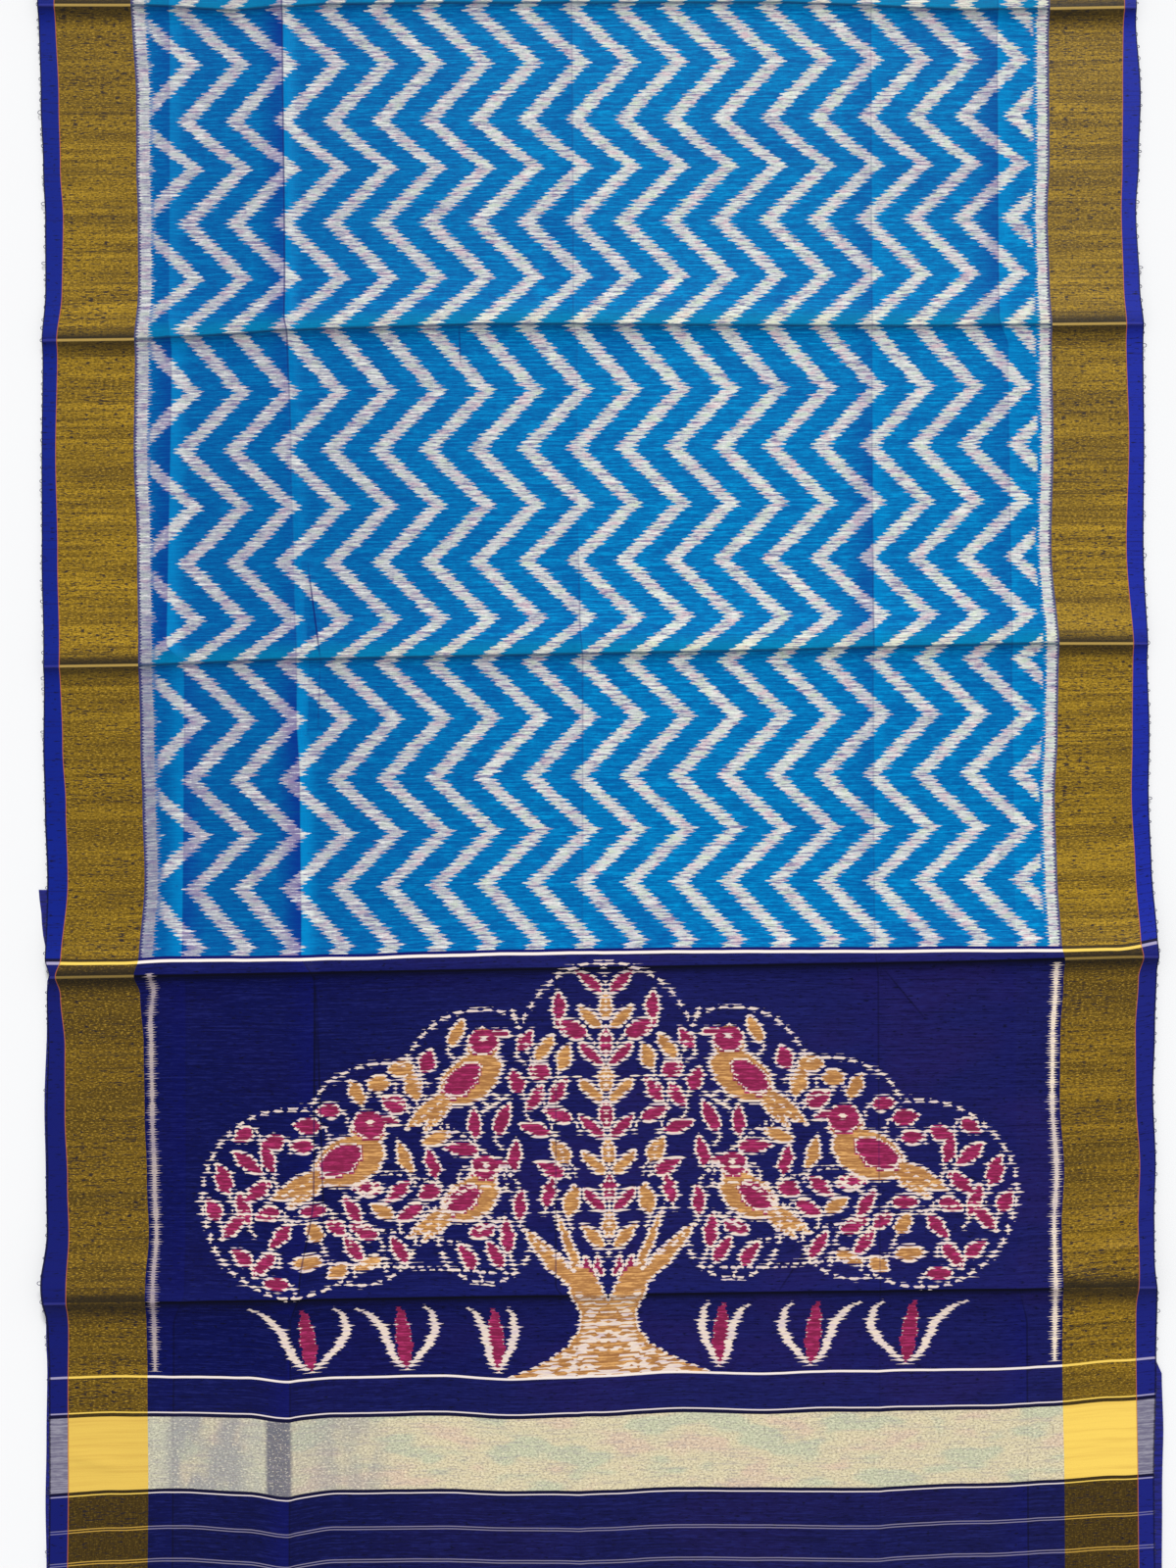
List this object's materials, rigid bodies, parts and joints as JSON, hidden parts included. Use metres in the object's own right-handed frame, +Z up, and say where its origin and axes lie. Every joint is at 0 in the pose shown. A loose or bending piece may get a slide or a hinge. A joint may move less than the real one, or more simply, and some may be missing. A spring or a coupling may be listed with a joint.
{
  "type": "saree",
  "caption": "Long uncut silk dress cloth laid out flat, with a zigzag body, a dark decorated end, cross bands and gold side borders, the rest folded back beneath.",
  "frame": {"origin": "centre of the footprint of the laid-out cloth, on the surface that it rests on", "axes": "+X across the cloth to the right, +Y along the cloth from the decorated loose end to the far fold, +Z up through the layers"},
  "size_m": [1.1851, 2.3, 0.0164],
  "materials": {
    "body_silk": "handwoven silk, azure with cream zigzags, soft sheen",
    "pallu_silk": "handwoven silk, navy with magenta, ochre and cream tied-dyed figures, soft sheen",
    "band_silk": "handwoven silk, navy with a broad cream band and thin cream lines",
    "border_silk": "slubbed silk, dull gold with dark threads",
    "selvage_silk": "plain silk, royal blue",
    "under_silk": "the same silk seen at its folded edges, dark blue"
  },
  "bodies": {
    "root": {"body_field": "body_silk", "pallu_field": "pallu_silk", "end_bands": "band_silk", "border_left": "border_silk", "border_right": "border_silk", "selvage_left": "selvage_silk", "selvage_right": "selvage_silk", "hidden_layers": "under_silk"}
  },
  "joints": []
}
